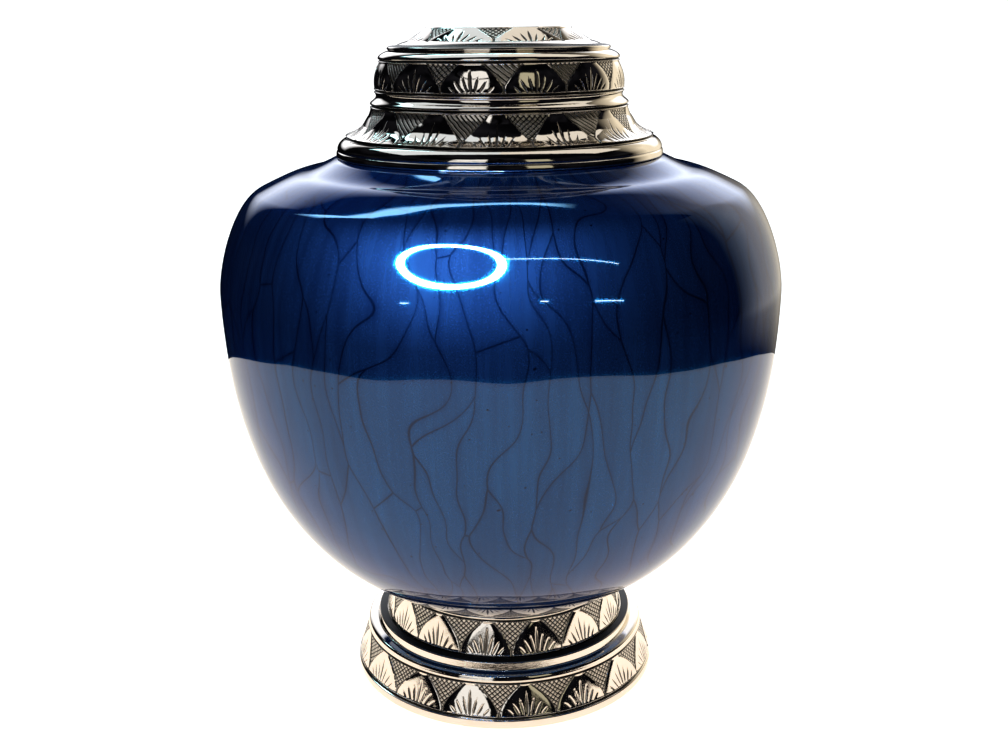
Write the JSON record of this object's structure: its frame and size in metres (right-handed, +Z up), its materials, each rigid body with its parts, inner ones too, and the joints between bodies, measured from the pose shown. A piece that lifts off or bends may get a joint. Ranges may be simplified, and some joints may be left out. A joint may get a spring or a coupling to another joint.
{
  "type": "funeral urn",
  "caption": "Covered metal cremation urn: round enamelled body with high shoulders on a flared foot ring, under a stepped lift-off lid, with chased petal bands on lid and foot.",
  "frame": {"origin": "centre of the foot's underside, on the ground", "axes": "+Z up along the turning axis; the front, as pictured, faces -Y"},
  "size_m": [0.1972, 0.1972, 0.2357],
  "materials": {
    "plate": "nickel-plated brass, polished, with black in the chased lines and grooves",
    "enamel": "spun brass under deep blue pearl enamel with dark wavering veins and a thick clear gloss"
  },
  "bodies": {
    "root": {"foot": "plate", "body": "enamel", "lid": "plate"}
  },
  "joints": []
}
